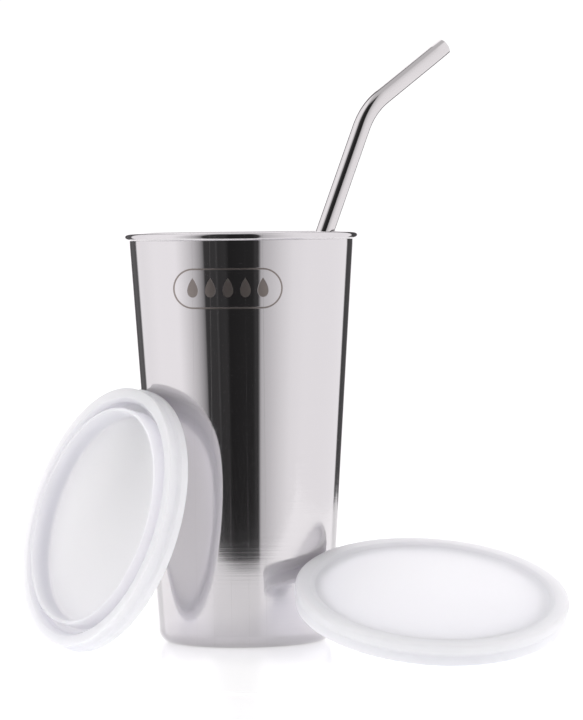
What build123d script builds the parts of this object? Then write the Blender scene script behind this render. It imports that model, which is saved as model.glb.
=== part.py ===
"""Steel tumbler with a bent drinking straw and two silicone lids, in millimetres.

The origin is the centre of the tumbler's base, on the surface that everything stands on.
+Z is up, along the tumbler's axis, -Y is the front and +X is the side that the straw leans to.
The tumbler stands with the straw in it.  One lid leans on edge against the tumbler's left side
with its inside showing, and the other lies at its front right, top up and tilted.
"""
import os
from math import asin, atan2, cos, degrees, hypot, radians, sin, tan

from build123d import *

# Tumbler: one drawn sheet, tapered, with its top edge rolled outwards
sheet = 0.5                    # thickness of the steel
tumbler_height = 133.5         # base to the top of the rolled rim
base_radius = 28.4             # outer face of the wall, carried on down to the base
neck_radius = 37.17            # outer face of the wall where the roll begins
base_rounding = 4.5            # outer radius between the base and the wall
roll_radius = 38.75            # widest part of the rolled rim
roll_half_width = 1.0
roll_half_height = 1.25
roll_neck = 3.0                # from the middle of the roll down to where it begins
roll_end_angle = -110.0        # the edge of the sheet, tucked in under the roll

# Straw: one bent tube
straw_diameter = 6.0
straw_wall = 0.5
straw_leg = 181.0              # straight stretch, foot to bend
straw_bend_radius = 24.0       # at the tube's centre line
straw_bend_angle = 32.6
straw_mouthpiece = 30.8        # straight stretch, bend to tip
straw_azimuth = 33.8           # the way the straw leans, from +X towards +Y
straw_foot_radius = 24.6       # from the tumbler's axis to the middle of the foot
straw_foot_height = 2.1        # middle of the foot above the base
straw_rim_gap = 0.42           # level with the middle of the roll, where the leg rests

# Lid: a low soft cap with a groove for the rolled rim and a plug that goes inside it
lid_height = 7.0               # open edge to the top of the flange
lip_radius = 43.0              # open edge
lip_rounding = 0.45
skirt_radius = 42.5            # narrowest part of the outside, under the flange
skirt_height = 3.2
flange_radius = 43.45
flange_underside = 4.2
flange_rounding = 1.1          # of the flange's top edge
flange_inner_radius = 38.9     # where the flat top begins to dip to the panel
panel_radius = 37.2
panel_top = 6.4
panel_thickness = 1.1
mouth_radius = 39.6            # flare that guides the lid on to the rim
catch_radius = 38.2            # soft catch that closes under the rolled rim
catch_height = 1.7
groove_radius = 38.95          # 0.2 clear of the rolled rim
groove_floor = 2.5             # upper side of the catch
groove_roof = 5.2
plug_radius = 36.1             # ring that goes inside the tumbler's mouth
plug_inner_radius = 34.8
plug_bottom = -1.2             # the plug stands out past the open edge

# How each lid rests: the way its top faces, and the middle of its open edge in plan
leaning_tilt = -18.0           # of the lid's axis above level
leaning_azimuth = 31.4         # of the lid's axis, from +X towards +Y
leaning_place = (-48.12, -24.85)
lying_tilt = 71.7
lying_azimuth = -77.8
lying_place = (58.76, -42.6)

roll_middle = (roll_radius - roll_half_width, tumbler_height - roll_half_height)
neck_height = roll_middle[1] - roll_neck


def revolved(profile):
    """The solid that a closed profile, drawn as (radius, height), sweeps about +Z."""
    face = Plane.XZ * make_face(profile)
    return revolve(face, Axis.Z)


def roll_arc(inset):
    """One face of the rolled rim, from its tucked-in edge round to the tumbler's neck."""
    return EllipticalCenterArc(
        roll_middle,
        roll_half_width - inset,
        roll_half_height - inset,
        start_angle=roll_end_angle,
        arc_size=180 - roll_end_angle,
    )


def make_tumbler():
    """The sheet's section: flat base, rounded corner, tapered wall and hollow roll."""
    taper = atan2(neck_radius - base_radius, neck_height)
    corner_radius = base_radius + base_rounding * tan(taper) - base_rounding / cos(taper)
    corner_middle = (corner_radius, base_rounding)
    corner_turn = 90 - degrees(taper)
    outer_corner = CenterArc(corner_middle, base_rounding, -90, corner_turn)
    inner_corner = CenterArc(corner_middle, base_rounding - sheet, -90, corner_turn)
    outer_roll = roll_arc(0)
    inner_roll = roll_arc(sheet)
    section = [
        Line((0, 0), outer_corner @ 0),
        outer_corner,
        Polyline(outer_corner @ 1, (neck_radius, neck_height), inner_roll @ 1),
        inner_roll,
        Line(inner_roll @ 0, outer_roll @ 0),
        outer_roll,
        Polyline(outer_roll @ 1, (neck_radius - sheet, neck_height), inner_corner @ 1),
        inner_corner,
        Polyline(inner_corner @ 0, (0, sheet), (0, 0)),
    ]
    return revolved(section)


def straw_lean():
    """Angle of the leg from upright, in radians, with its side against the rim."""
    lip = roll_radius - 2 * roll_half_width
    across = straw_foot_radius + lip
    up = roll_middle[1] - straw_foot_height
    clearance = straw_diameter / 2 + straw_rim_gap
    return atan2(across, up) - asin(clearance / hypot(across, up))


def slanted(azimuth, from_upright):
    """Unit vector at an azimuth in degrees and an angle from upright in radians."""
    level = sin(from_upright)
    turn = radians(azimuth)
    return Vector(level * cos(turn), level * sin(turn), cos(from_upright))


def make_straw():
    """A tube swept up the leg, round the bend and along the mouthpiece."""
    lean = straw_lean()
    bend = radians(straw_bend_angle)
    corner_length = straw_bend_radius * tan(bend / 2)
    leg_direction = slanted(straw_azimuth, lean)
    foot = slanted(straw_azimuth + 180, radians(90)) * straw_foot_radius
    foot += Vector(0, 0, straw_foot_height)
    knee = foot + leg_direction * (straw_leg + corner_length)
    tip = knee + slanted(straw_azimuth, lean + bend) * (corner_length + straw_mouthpiece)
    route = FilletPolyline(foot, knee, tip, radius=straw_bend_radius)
    bore_radius = straw_diameter / 2 - straw_wall
    ring = Circle(straw_diameter / 2) - Circle(bore_radius)
    return sweep(Plane(origin=foot, z_dir=leg_direction) * ring, path=route)


def make_lid():
    """One lid in its own frame: +Z is its axis and its open edge is at z = 0."""
    # each row is a corner of the section: radius, height and rounding
    corners = [
        (0, panel_top - panel_thickness, 0),
        (plug_inner_radius - 0.4, panel_top - panel_thickness, 0.8),
        (plug_inner_radius, plug_bottom, 0.4),
        (plug_radius - 0.3, plug_bottom, 0.4),
        (plug_radius, groove_roof, 0.3),
        (groove_radius, groove_roof, 0.8),
        (groove_radius, groove_floor, 0.2),
        (catch_radius, catch_height, 0.3),
        (mouth_radius, 0, 0.3),
        (lip_radius, 0, lip_rounding),
        (skirt_radius, skirt_height, 0.8),
        (flange_radius, flange_underside, 0.5),
        (flange_radius, lid_height, flange_rounding),
        (flange_inner_radius, lid_height, 0.8),
        (panel_radius, panel_top, 0.6),
        (0, panel_top, 0),
    ]
    points = [(radius, height) for radius, height, _ in corners]
    roundings = [rounding for _, _, rounding in corners[1:-1]]
    outline = FilletPolyline(*points, radius=roundings)
    axis_edge = Line(points[-1], points[0])
    return revolved([outline, axis_edge])


def rest_lid(lid, place, azimuth, tilt):
    """The lid set down on its lowest edge, with its top facing a tilt above level."""
    rise = radians(tilt)
    height = max(
        (radius - rounding) * cos(rise) - middle * sin(rise) + rounding
        for radius, middle, rounding in (
            (lip_radius, lip_rounding, lip_rounding),
            (flange_radius, lid_height - flange_rounding, flange_rounding),
        )
    )
    axis = slanted(azimuth, radians(90 - tilt))
    return Plane(origin=(*place, height), z_dir=axis) * lid


lid = make_lid()
nodes = {
    "tumbler": make_tumbler(),
    "straw": make_straw(),
    "leaning_lid": rest_lid(lid, leaning_place, leaning_azimuth, leaning_tilt),
    "lying_lid": rest_lid(lid, lying_place, lying_azimuth, lying_tilt),
}
os.makedirs("parts", exist_ok=True)
for name, solid in nodes.items():
    solid.label = name
    export_step(solid, f"parts/{name}.step")
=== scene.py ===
"""Steel tumbler with a bent steel straw and two silicone lids, in metres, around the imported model.

+Z is up along the tumbler's axis, the front is -Y, and the floor is z = 0.  Sizes below are in
millimetres, as a maker writes them, and become metres where a mesh is made.
"""
from math import asin, atan2, cos, degrees, hypot, pi, radians, sin, tan

import bpy
from mathutils import Matrix, Vector


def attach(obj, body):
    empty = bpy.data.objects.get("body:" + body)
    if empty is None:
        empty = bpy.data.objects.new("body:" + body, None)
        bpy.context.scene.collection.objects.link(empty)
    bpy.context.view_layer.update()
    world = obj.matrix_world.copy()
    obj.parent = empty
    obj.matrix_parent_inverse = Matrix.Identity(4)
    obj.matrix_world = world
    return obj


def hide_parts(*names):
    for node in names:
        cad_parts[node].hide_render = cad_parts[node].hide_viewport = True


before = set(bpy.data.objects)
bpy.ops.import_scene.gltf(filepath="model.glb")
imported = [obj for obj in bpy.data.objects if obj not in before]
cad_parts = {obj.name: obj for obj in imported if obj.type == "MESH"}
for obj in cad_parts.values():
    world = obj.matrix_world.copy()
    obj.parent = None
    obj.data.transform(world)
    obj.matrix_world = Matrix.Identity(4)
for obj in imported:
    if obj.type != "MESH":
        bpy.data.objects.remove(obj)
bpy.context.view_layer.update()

MM = 0.001
TURN_STEPS = 256               # segments round the tumbler and the lids
WELD = 0.004 * MM              # points closer than this are one point
SHARP_ANGLE = 60               # in degrees; edges sharper than this get a small bevel
METAL_SMOOTH_ANGLE = 35        # faces that meet at less than this shade as one
LID_SMOOTH_ANGLE = 40

# Tumbler
sheet = 0.5
tumbler_height = 133.5
base_radius = 28.4
neck_radius = 37.17
base_rounding = 4.5
roll_radius = 38.75
roll_half_width = 1.0
roll_half_height = 1.25
roll_neck = 3.0
roll_end_angle = -110.0
tumbler_edge_bevel = 0.06

# Straw
straw_radius = 3.0
straw_wall = 0.5
straw_leg = 181.0
straw_bend_radius = 24.0
straw_bend_angle = 32.6
straw_mouthpiece = 30.8
straw_azimuth = 33.8
straw_foot_radius = 24.6
straw_foot_height = 2.1
straw_rim_gap = 0.42
straw_sides = 64
straw_leg_rings = 24
straw_bend_rings = 24
straw_mouthpiece_rings = 6
straw_edge_bevel = 0.14

# Lids: each row is a corner of the section, with its radius, height and rounding
lid_corners = [
    (0, 5.3, 0),
    (34.4, 5.3, 0.8),
    (34.8, -1.2, 0.4),
    (35.8, -1.2, 0.4),
    (36.1, 5.2, 0.3),
    (38.95, 5.2, 0.8),
    (38.95, 2.5, 0.2),
    (38.2, 1.7, 0.3),
    (39.6, 0, 0.3),
    (43.0, 0, 0.45),
    (42.5, 3.2, 0.8),
    (43.45, 4.2, 0.5),
    (43.45, 7.0, 1.1),
    (38.9, 7.0, 0.8),
    (37.2, 6.4, 0.6),
    (0, 6.4, 0),
]
# the edges that a lid can rest on: middle of the rounding (radius, height), and rounding
resting_edges = [(42.55, 0.45, 0.45), (42.35, 5.9, 1.1)]
# middle of the open edge in plan, the way the top faces from +X, and its tilt above level
leaning_rest = ((-48.12, -24.85), 31.4, -18.0)
lying_rest = ((58.76, -42.6), -77.8, 71.7)

# Camera, in metres and radians
camera_place = (0.0, -1.31, 0.14158)
camera_lens = 200.70
camera_turn = 0.012221         # from straight ahead towards +X
camera_down = 0.038201
camera_roll = -0.011409

# Table, in metres
table_width = 0.56
table_depth = 0.506
table_middle_y = 0.107
room_floor_drop = 0.0001       # keeps the room's floor from meeting the table's top
room_size = 24
backdrop_radius = 10

# Lamps: name, place in metres, side of the square in metres, and power in watts
lamps = [
    ("overhead_lamp", (0.1, 0.1, 1.5), 1.2, 0.6),
    ("front_lamp", (0.1, -1.7, 1.25), 1.3, 1.0),
    ("left_lamp", (-1.3, -1.0, 0.5), 1.0, 2.5),
]
lamp_target = (0.0, 0.0, 0.05)


def slanted(azimuth, from_upright):
    """Unit vector at an azimuth in degrees and an angle from upright in radians."""
    level = sin(from_upright)
    turn = radians(azimuth)
    return Vector((level * cos(turn), level * sin(turn), cos(from_upright)))


# ---------------------------------------------------------------- shader sockets as numbers


class Shade:
    """A socket of a node, which Python's operators work on by adding Math nodes."""

    def __init__(self, paint, socket):
        self.paint = paint
        self.socket = socket

    def maths(self, operation, *terms):
        values = dict(enumerate(terms))
        return self.paint.node("ShaderNodeMath", {"operation": operation}, values)

    def __add__(self, other):
        return self.maths("ADD", self, other)

    def __radd__(self, other):
        return self.maths("ADD", other, self)

    def __sub__(self, other):
        return self.maths("SUBTRACT", self, other)

    def __rsub__(self, other):
        return self.maths("SUBTRACT", other, self)

    def __mul__(self, other):
        return self.maths("MULTIPLY", self, other)

    def __rmul__(self, other):
        return self.maths("MULTIPLY", other, self)

    def __truediv__(self, other):
        return self.maths("DIVIDE", self, other)

    def __pow__(self, other):
        return self.maths("POWER", self, other)

    def __abs__(self):
        return self.maths("ABSOLUTE", self)

    def smaller(self, other):
        return self.maths("MINIMUM", self, other)

    def larger(self, other):
        return self.maths("MAXIMUM", self, other)

    def step(self, low, high):
        """0 below low and 1 above high, with a smooth change between them."""
        settings = {"interpolation_type": "SMOOTHSTEP"}
        return self.paint.node("ShaderNodeMapRange", settings, {0: self, 1: low, 2: high})

    def parts(self):
        """The three parts of a vector."""
        split = self.paint.node("ShaderNodeSeparateXYZ", {}, {0: self})
        return [Shade(self.paint, out) for out in split.socket.node.outputs]


class Paint:
    """The node tree of one material, or of the studio round the table."""

    def __init__(self, owner):
        owner.use_nodes = True
        self.tree = owner.node_tree
        self.tree.nodes.clear()

    def node(self, kind, settings, values, output=0):
        """Adds a node: its settings first, then the values or links of its sockets."""
        made = self.tree.nodes.new(kind)
        for name, value in settings.items():
            if name == "stops":
                self.set_stops(made.color_ramp, value)
            else:
                setattr(made, name, value)
        for key, value in values.items():
            if isinstance(value, Shade):
                self.tree.links.new(value.socket, made.inputs[key])
            else:
                made.inputs[key].default_value = value
        return Shade(self, made.outputs[output]) if made.outputs else None

    @staticmethod
    def set_stops(ramp, stops):
        while len(ramp.elements) < len(stops):
            ramp.elements.new(1.0)
        for element, (place, colour) in zip(ramp.elements, stops):
            element.position = place
            element.color = (*colour, 1.0)

    def place(self):
        """Where a point of the piece is, in metres."""
        return self.node("ShaderNodeTexCoord", {}, {}, "Object")

    def own_frame(self):
        """Where a point is in the piece's own frame, before it was bent and placed."""
        settings = {"attribute_name": "own_frame"}
        return self.node("ShaderNodeAttribute", settings, {}, "Vector")

    def joined(self, x, y, z):
        return self.node("ShaderNodeCombineXYZ", {}, {0: x, 1: y, 2: z})

    def scaled(self, vector, factors):
        settings = {"operation": "MULTIPLY"}
        return self.node("ShaderNodeVectorMath", settings, {0: vector, 1: factors})

    def noise(self, vector, scale, detail=2.0, roughness=0.5):
        values = {"Vector": vector, "Scale": scale, "Detail": detail, "Roughness": roughness}
        return self.node("ShaderNodeTexNoise", {}, values)

    def mix(self, factor, first, second):
        """A colour between two colours."""
        settings = {"data_type": "RGBA"}
        values = {0: factor, 6: first, 7: second}
        return self.node("ShaderNodeMix", settings, values, 2)

    def bump(self, height, strength, distance):
        values = {"Height": height, "Strength": strength, "Distance": distance}
        return self.node("ShaderNodeBump", {}, values)

    def finish(self, shader, kind="ShaderNodeOutputMaterial"):
        self.node(kind, {}, {0: shader})


def colour(red, green, blue):
    return (red, green, blue, 1.0)


# ------------------------------------------------------------------------------ materials


def drop_mark(paint, place):
    """Etched mark on the front: a slim rounded outline round a row of drops, 1 inside it."""
    centre_x, centre_z = -0.0044, 0.1158
    half_length, half_height, line = 0.0172, 0.0062, 0.00026
    x, y, z = place.parts()
    across = x - centre_x
    up = z - centre_z
    end = (abs(across) - (half_length - half_height)).larger(0.0)
    from_spine = (end * end + up * up) ** 0.5
    outline = 1.0 - abs(from_spine - half_height).step(line * 0.7, line * 1.3)

    pitch, drops, drop_height, drop_width = 0.0056, 5, 0.0062, 0.0017
    below_centre = 0.45            # share of a drop's height that hangs below the row's middle
    belly = 2.6                    # brings the drop's outline out to its full width
    row = across.maths("ROUND", across / pitch)
    beside = across - row * pitch
    rise = ((up + drop_height * below_centre) / drop_height).smaller(1.0).larger(0.0)
    half_width = (rise ** 0.5) * (1.0 - rise) * (belly * drop_width)
    inside = (half_width - abs(beside)).step(-0.00004, 0.00006)
    in_row = abs(row).maths("LESS_THAN", abs(row), drops / 2)
    front = y.maths("LESS_THAN", y, 0.0)
    return outline.larger(inside * in_row) * front


def make_tumbler_steel():
    """Bright drawn steel with fine turning lines round it, and a mark etched on the front."""
    material = bpy.data.materials.new("tumbler_steel")
    paint = Paint(material)
    place = paint.place()
    x, y, z = place.parts()
    radius = (x * x + y * y) ** 0.5
    along = z + radius
    rings = paint.joined(x * 12.0, y * 12.0, along * 1400.0)
    lines = paint.noise(rings, 1.0, 3.0, 0.6)
    broad = paint.noise(paint.joined(x * 9.0, y * 9.0, along * 160.0), 1.0, 2.0, 0.5)
    clouds = paint.noise(paint.scaled(place, (45.0, 45.0, 18.0)), 1.0, 2.0, 0.5)
    mark = drop_mark(paint, place)

    tone = (lines - 0.5) * 0.10 + (clouds - 0.5) * 0.06
    bright = paint.mix(0.5 + tone, colour(0.56, 0.545, 0.555), colour(0.64, 0.62, 0.635))
    base = paint.mix(mark, bright, colour(0.30, 0.265, 0.25))
    roughness = 0.075 + (lines - 0.5) * 0.04 + (clouds - 0.5) * 0.02 + mark * 0.42
    height = lines * 0.35 + broad * 0.65 - mark * 0.8
    normal = paint.bump(height, 0.16, 0.00012)
    steel = paint.node("ShaderNodeBsdfPrincipled", {}, {
        "Base Color": base,
        "Metallic": 1.0,
        "Roughness": roughness,
        "Anisotropic": 0.9,
        "Anisotropic Rotation": 0.25,
        "Normal": normal,
    })
    paint.finish(steel)
    return material


def make_straw_steel():
    """Polished tube with faint drawing lines along it."""
    material = bpy.data.materials.new("straw_steel")
    paint = Paint(material)
    own = paint.own_frame()
    lines = paint.noise(paint.scaled(own, (1500.0, 1500.0, 14.0)), 1.0, 2.0, 0.5)
    clouds = paint.noise(paint.scaled(own, (120.0, 120.0, 60.0)), 1.0, 2.0, 0.5)
    tone = 0.5 + (lines - 0.5) * 0.4 + (clouds - 0.5) * 0.3
    base = paint.mix(tone, colour(0.55, 0.53, 0.535), colour(0.66, 0.64, 0.645))
    roughness = 0.085 + (lines - 0.5) * 0.04 + (clouds - 0.5) * 0.03
    normal = paint.bump(lines, 0.05, 0.00005)
    steel = paint.node("ShaderNodeBsdfPrincipled", {}, {
        "Base Color": base,
        "Metallic": 1.0,
        "Roughness": roughness,
        "Normal": normal,
    })
    paint.finish(steel)
    return material


def make_lid_silicone():
    """Milky satin silicone, with painted light: the thick ring is painted a touch lighter and bluer
    and the thin panel a touch darker and warmer, as light through the silicone would show them.
    """
    material = bpy.data.materials.new("lid_silicone")
    paint = Paint(material)
    own = paint.own_frame()
    x, y, z = own.parts()
    radius = (x * x + y * y) ** 0.5
    # share of the thick ring, where the silicone gets the lighter, bluer colour of painted light
    lit_ring_share = radius.step(0.0355, 0.0395)
    clouds = paint.noise(own, 38.0, 3.0, 0.5)
    grain = paint.noise(own, 1500.0, 2.0, 0.6)
    flow = paint.noise(paint.joined(x * 8.0, y * 8.0, radius * 420.0), 1.0, 2.0, 0.5)
    # painted shade: the thin panel's colour is a touch darker and warmer than the ring's colour
    # under it, which is the painted light of the thick ring
    shaded_panel_colour = paint.mix(clouds, colour(0.86, 0.855, 0.925), colour(0.88, 0.875, 0.94))
    rim = paint.mix(clouds, colour(0.86, 0.86, 0.935), colour(0.88, 0.88, 0.95))
    base = paint.mix(lit_ring_share, shaded_panel_colour, rim)
    roughness = 0.44 + (clouds - 0.5) * 0.12 + (grain - 0.5) * 0.08
    normal = paint.bump(grain * 0.5 + flow * 0.5, 0.12, 0.00008)
    silicone = paint.node("ShaderNodeBsdfPrincipled", {}, {
        "Base Color": base,
        "Roughness": roughness,
        "IOR": 1.41,
        "Subsurface Weight": 1.0,
        "Subsurface Radius": (1.0, 0.95, 1.0),
        "Subsurface Scale": 0.014,
        "Normal": normal,
    })
    paint.finish(silicone)
    return material


# --------------------------------------------------------------------------- mesh helpers


def deselect():
    bpy.ops.object.select_all(action="DESELECT")


def turned(name, section):
    """A piece turned about +Z from the points (radius, height) of its section, in mm."""
    deselect()
    bpy.ops.mesh.primitive_plane_add(size=MM, calc_uvs=False, location=(0, 0, 0))
    piece = bpy.context.object
    piece.name = name
    bpy.ops.object.mode_set(mode="EDIT")
    bpy.ops.mesh.select_all(action="SELECT")
    bpy.ops.mesh.merge(type="CENTER")
    start = section[0]
    bpy.ops.transform.translate(value=(start[0] * MM, 0, start[1] * MM))
    for here, after in zip(section, section[1:]):
        move = ((after[0] - here[0]) * MM, 0, (after[1] - here[1]) * MM)
        bpy.ops.mesh.extrude_region_move(TRANSFORM_OT_translate={"value": move})
    bpy.ops.mesh.select_all(action="SELECT")
    bpy.ops.mesh.spin(steps=TURN_STEPS, angle=2 * pi, center=(0, 0, 0), axis=(0, 0, 1))
    bpy.ops.mesh.select_all(action="SELECT")
    bpy.ops.mesh.remove_doubles(threshold=WELD)
    bpy.ops.mesh.normals_make_consistent(inside=False)
    bpy.ops.object.mode_set(mode="OBJECT")
    return piece


def flip_faces():
    """Turns the faces of the active piece over."""
    bpy.ops.object.mode_set(mode="EDIT")
    bpy.ops.mesh.select_all(action="SELECT")
    bpy.ops.mesh.flip_normals()
    bpy.ops.object.mode_set(mode="OBJECT")


def face_upward(piece, near_height):
    """Turns an open shell over if the faces at its middle look down."""
    middle = [f for f in piece.data.polygons
              if hypot(f.center.x, f.center.y) < 5 * MM and abs(f.center.z - near_height) < MM]
    if sum(f.normal.z for f in middle) < 0:
        flip_faces()


def apply_modifier(piece, kind, **settings):
    bpy.context.view_layer.objects.active = piece
    modifier = piece.modifiers.new(kind.lower(), kind)
    for name, value in settings.items():
        setattr(modifier, name, value)
    bpy.ops.object.modifier_apply(modifier=modifier.name)


def smooth(piece, angle):
    deselect()
    piece.select_set(True)
    bpy.context.view_layer.objects.active = piece
    bpy.ops.object.shade_smooth_by_angle(angle=radians(angle))


def keep_own_frame(piece, points):
    """Records where each point of a piece is in the piece's own frame."""
    attribute = piece.data.attributes.new("own_frame", "FLOAT_VECTOR", "POINT")
    flat = [value for point in points for value in point]
    attribute.data.foreach_set("vector", flat)


def put(piece, matrix):
    """Sets a finished piece down in its place, with the place in its mesh."""
    deselect()
    piece.select_set(True)
    bpy.context.view_layer.objects.active = piece
    piece.matrix_world = matrix
    bpy.ops.object.transform_apply(location=True, rotation=True, scale=True)


def arc(middle, width, height, start, sweep, steps):
    """Points round part of an ellipse, angles in degrees."""
    turns = [radians(start + sweep * i / steps) for i in range(steps + 1)]
    return [(middle[0] + width * cos(t), middle[1] + height * sin(t)) for t in turns]


def between(start, end, steps):
    """Points from start towards end, without either of them."""
    shares = [i / steps for i in range(1, steps)]
    return [tuple(a + (b - a) * s for a, b in zip(start, end)) for s in shares]


def rounded(corners, steps=5):
    """The outline through corners (radius, height, rounding), with arcs at the rounded ones."""
    outline = [corners[0][:2]]
    for before, corner, after in zip(corners, corners[1:], corners[2:]):
        here = Vector(corner[:2])
        back = (Vector(before[:2]) - here).normalized()
        on = (Vector(after[:2]) - here).normalized()
        half = back.angle(on) / 2
        middle = here + (back + on).normalized() * (corner[2] / sin(half))
        cut = corner[2] / tan(half)
        first = here + back * cut - middle
        last = here + on * cut - middle
        turn = first.angle_signed(last)
        for i in range(steps + 1):
            spoke = first.copy()
            spoke.rotate(Matrix.Rotation(-turn * i / steps, 2))
            outline.append(tuple(middle + spoke))
    outline.append(corners[-1][:2])
    return outline


# --------------------------------------------------------------------------------- pieces


def make_tumbler():
    """The inner face of the sheet from the base's middle over the roll, then its thickness."""
    roll_middle = (roll_radius - roll_half_width, tumbler_height - roll_half_height)
    neck_height = roll_middle[1] - roll_neck
    taper = atan2(neck_radius - base_radius, neck_height)
    corner_radius = base_radius + base_rounding * tan(taper) - base_rounding / cos(taper)
    corner_turn = 90 - degrees(taper)
    inner_rounding = base_rounding - sheet
    corner = arc((corner_radius, base_rounding), inner_rounding, inner_rounding,
                 -90, corner_turn, 12)
    neck = (neck_radius - sheet, neck_height)
    roll = arc(roll_middle, roll_half_width, roll_half_height,
               180, roll_end_angle - 180, 40)
    section = [(0, sheet), *between((0, sheet), corner[0], 8), *corner,
               *between(corner[-1], neck, 14), neck, *between(neck, roll[0], 4), *roll]
    piece = turned("tumbler_body", section)
    face_upward(piece, sheet * MM)
    apply_modifier(piece, "SOLIDIFY", thickness=sheet * MM, offset=-1.0,
                   use_even_offset=True, use_quality_normals=True)
    apply_modifier(piece, "BEVEL", width=tumbler_edge_bevel * MM, segments=2,
                   limit_method="ANGLE", angle_limit=radians(SHARP_ANGLE))
    smooth(piece, METAL_SMOOTH_ANGLE)
    return piece


def make_straw():
    """A tube extruded up the leg, spun round the bend and extruded along the mouthpiece."""
    deselect()
    bpy.ops.mesh.primitive_circle_add(vertices=straw_sides, radius=straw_radius * MM,
                                      fill_type="NOTHING", calc_uvs=False)
    piece = bpy.context.object
    piece.name = "straw_tube"
    bend = radians(straw_bend_angle)
    across = straw_bend_radius * MM
    bpy.ops.object.mode_set(mode="EDIT")
    bpy.ops.mesh.select_all(action="SELECT")
    for _ in range(straw_leg_rings):
        step = (0, 0, straw_leg * MM / straw_leg_rings)
        bpy.ops.mesh.extrude_region_move(TRANSFORM_OT_translate={"value": step})
    bpy.ops.mesh.spin(steps=straw_bend_rings, angle=bend, axis=(0, -1, 0),
                      center=(across, 0, straw_leg * MM))
    for _ in range(straw_mouthpiece_rings):
        length = straw_mouthpiece * MM / straw_mouthpiece_rings
        step = (length * sin(bend), 0, length * cos(bend))
        bpy.ops.mesh.extrude_region_move(TRANSFORM_OT_translate={"value": step})
    bpy.ops.mesh.select_all(action="SELECT")
    bpy.ops.mesh.remove_doubles(threshold=WELD)
    bpy.ops.mesh.normals_make_consistent(inside=False)
    bpy.ops.object.mode_set(mode="OBJECT")
    first = piece.data.polygons[0]
    if first.normal.dot(Vector((first.center.x, first.center.y, 0))) < 0:
        flip_faces()
    apply_modifier(piece, "SOLIDIFY", thickness=straw_wall * MM, offset=-1.0)
    apply_modifier(piece, "BEVEL", width=straw_edge_bevel * MM, segments=3,
                   limit_method="ANGLE", angle_limit=radians(SHARP_ANGLE))
    smooth(piece, METAL_SMOOTH_ANGLE)
    keep_own_frame(piece, [straightened(v.co) for v in piece.data.vertices])
    return piece


def straightened(point):
    """Where a point of the bent tube would be if the tube were straight."""
    leg, across, bend = straw_leg * MM, straw_bend_radius * MM, radians(straw_bend_angle)
    if point.z <= leg:
        return tuple(point)
    turn = min(atan2(point.z - leg, across - point.x), bend)
    if turn < bend:
        out = hypot(point.z - leg, across - point.x)
        return (across - out, point.y, leg + across * turn)
    end = Vector((across - across * cos(bend), 0, leg + across * sin(bend)))
    past = point - end
    along = past.x * sin(bend) + past.z * cos(bend)
    aside = past.x * cos(bend) - past.z * sin(bend)
    return (aside, point.y, leg + across * bend + along)


def place_straw(piece):
    """Stands the straw's foot in the tumbler and leans it on the rim."""
    lip = roll_radius - 2 * roll_half_width
    across = straw_foot_radius + lip
    up = tumbler_height - roll_half_height - straw_foot_height
    lean = atan2(across, up) - asin((straw_radius + straw_rim_gap) / hypot(across, up))
    foot = slanted(straw_azimuth + 180, radians(90)) * straw_foot_radius
    foot.z = straw_foot_height
    leg_way = slanted(straw_azimuth, lean)
    bend_way = slanted(straw_azimuth, lean + radians(90))
    turn = Matrix((bend_way, leg_way.cross(bend_way), leg_way)).transposed()
    put(piece, Matrix.Translation(foot * MM) @ turn.to_4x4())


def make_lid(name):
    """A soft lid: low cap with a flange, a groove for the roll, and a plug inside it."""
    outline = rounded(lid_corners)
    under, top = outline[0], outline[-1]
    section = [under, *between(under, outline[1], 10), *outline[1:-1],
               *between(outline[-2], top, 10), top]
    piece = turned(name, section)
    smooth(piece, LID_SMOOTH_ANGLE)
    keep_own_frame(piece, [tuple(v.co) for v in piece.data.vertices])
    return piece


def rest_lid(piece, place, azimuth, tilt):
    """Sets a lid down on its lowest edge, with its top facing a tilt above level."""
    rise = radians(tilt)
    height = max(radius * cos(rise) - along * sin(rise) + rounding
                 for radius, along, rounding in resting_edges)
    turn = slanted(azimuth, radians(90 - tilt)).to_track_quat("Z", "Y").to_matrix()
    middle = Vector((*place, height)) * MM
    put(piece, Matrix.Translation(middle) @ turn.to_4x4())


def fit(piece, node, material):
    """Gives a piece its finish, and lets it stand for a node and ride on its body."""
    piece.data.materials.clear()
    piece.data.materials.append(material)
    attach(piece, node)
    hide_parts(node)


# ------------------------------------------------------------------------- studio and table


def studio_light():
    """Soft boxes left, right and behind, with the dark of the room between them in front."""
    world = bpy.data.worlds.new("studio")
    bpy.context.scene.world = world
    paint = Paint(world)
    way = paint.node("ShaderNodeTexCoord", {}, {}, "Generated")
    x, y, z = way.parts()
    turn = x.maths("ARCTAN2", x, 0.0 - y) / (2 * pi) + 0.5
    bands = [  # degrees round from the front, towards the right, and brightness
        (-180, 1.5), (-153.5, 1.5), (-151.5, 0.09), (-143, 0.16), (-134, 0.12), (-131.5, 1.18),
        (-118, 1.19), (-100, 1.28), (-71, 1.28), (-64, 1.12), (-56, 0.92), (-49, 0.72),
        (-43, 0.47), (-39.5, 0.28), (-38, 0.06), (-26, 0.055), (-25, 0.10), (-24, 0.045),
        (-16, 0.05), (-13, 0.022), (12, 0.03), (14, 0.06), (17.5, 0.05), (20, 0.68),
        (28, 0.80), (41, 1.0), (54, 1.16), (70, 1.22), (134, 1.22), (136.5, 0.08),
        (152.5, 0.10), (155, 1.45),
    ]
    stops = [((angle + 180) / 360, (b * 1.0, b * 0.985, b * 1.0)) for angle, b in bands]
    sides = paint.node("ShaderNodeValToRGB", {"stops": stops}, {0: turn})
    overhead = z.step(0.86, 0.97)
    light = paint.mix(overhead, sides, colour(0.75, 0.74, 0.75))
    background = paint.node("ShaderNodeBackground", {}, {"Color": light, "Strength": 1.0})
    paint.finish(background, "ShaderNodeOutputWorld")


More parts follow.
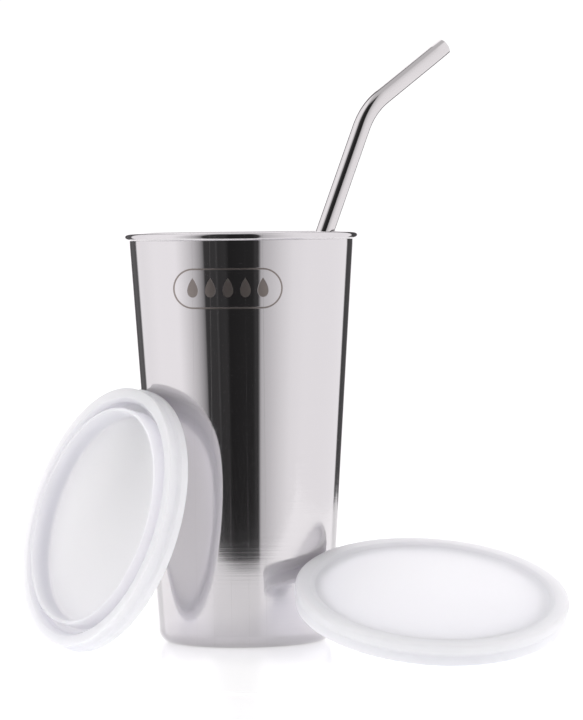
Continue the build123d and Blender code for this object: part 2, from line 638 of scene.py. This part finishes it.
def soft_lamp(name, place, size, power):
    """A broad soft lamp aimed at the pieces, which lights them but isn't mirrored in them."""
    data = bpy.data.lights.new(name, "AREA")
    data.shape = "SQUARE"
    data.size = size
    data.energy = power
    lamp = bpy.data.objects.new(name, data)
    bpy.context.scene.collection.objects.link(lamp)
    lamp.location = place
    aim = Vector(lamp_target) - lamp.location
    lamp.rotation_euler = aim.to_track_quat("-Z", "Y").to_euler()
    lamp.visible_glossy = False
    lamp.visible_camera = False


def make_floor_paint():
    """White table top with a weak soft shine."""
    material = bpy.data.materials.new("table_white")
    paint = Paint(material)
    grain = paint.noise(paint.place(), 60.0, 2.0, 0.5)
    base = paint.mix(grain, colour(0.93, 0.93, 0.93), colour(0.95, 0.95, 0.95))
    table = paint.node("ShaderNodeBsdfPrincipled", {}, {
        "Base Color": base,
        "Roughness": 0.25,
        "Specular IOR Level": 0.18,
        "Emission Color": (1.0, 1.0, 1.0, 1.0),
        "Emission Strength": 0.38,
    })
    paint.finish(table)
    return material


def make_stage():
    """The table, its front edge, the room's floor beyond it, and a plain white backdrop."""
    table_paint = make_floor_paint()
    deselect()
    bpy.ops.mesh.primitive_plane_add(size=1, location=(0, table_middle_y, 0))
    table = bpy.context.object
    table.name = "table"
    table.scale = (table_width, table_depth, 1)
    bpy.ops.object.transform_apply(location=True, rotation=True, scale=True)
    table.data.materials.append(table_paint)
    deselect()
    bpy.ops.mesh.primitive_plane_add(size=room_size, location=(0, 0, -room_floor_drop))
    room_floor = bpy.context.object
    room_floor.name = "room_floor"
    bpy.ops.object.transform_apply(location=True, rotation=True, scale=True)
    room_floor.data.materials.append(table_paint)
    room_floor.visible_glossy = False
    room_floor.visible_shadow = False
    deselect()
    bpy.ops.mesh.primitive_uv_sphere_add(segments=64, ring_count=32, radius=backdrop_radius)
    backdrop = bpy.context.object
    backdrop.name = "backdrop"
    material = bpy.data.materials.new("backdrop_white")
    paint = Paint(material)
    glow = paint.node("ShaderNodeEmission", {}, {"Color": colour(1, 1, 1), "Strength": 1.05})
    paint.finish(glow)
    material.cycles.emission_sampling = "NONE"
    backdrop.data.materials.append(material)
    backdrop.visible_glossy = False
    backdrop.visible_diffuse = False
    backdrop.visible_shadow = False
    backdrop.visible_transmission = False


def set_camera():
    """A long lens a little above the rim, level but for a slight look down."""
    data = bpy.data.cameras.new("camera")
    data.lens = camera_lens
    data.sensor_width = 36.0
    data.clip_end = 100.0
    camera = bpy.data.objects.new("camera", data)
    bpy.context.scene.collection.objects.link(camera)
    turn, down, roll = camera_turn, camera_down, camera_roll
    ahead = Vector((sin(turn) * cos(down), cos(turn) * cos(down), -sin(down)))
    right = Vector((cos(turn), -sin(turn), 0))
    upward = right.cross(ahead)
    rolled_right = right * cos(roll) + upward * sin(roll)
    rolled_up = upward * cos(roll) - right * sin(roll)
    axes = Matrix((rolled_right, rolled_up, -ahead)).transposed()
    camera.matrix_world = Matrix.Translation(camera_place) @ axes.to_4x4()
    bpy.context.scene.camera = camera


set_camera()
studio_light()
for lamp_row in lamps:
    soft_lamp(*lamp_row)
make_stage()

tumbler = make_tumbler()
fit(tumbler, "tumbler", make_tumbler_steel())

straw = make_straw()
place_straw(straw)
fit(straw, "straw", make_straw_steel())

silicone = make_lid_silicone()
leaning_lid = make_lid("leaning_lid_moulding")
rest_lid(leaning_lid, *leaning_rest)
fit(leaning_lid, "leaning_lid", silicone)

lying_lid = make_lid("lying_lid_moulding")
rest_lid(lying_lid, *lying_rest)
fit(lying_lid, "lying_lid", silicone)

view_settings = bpy.context.scene.view_settings
view_settings.view_transform = "Standard"
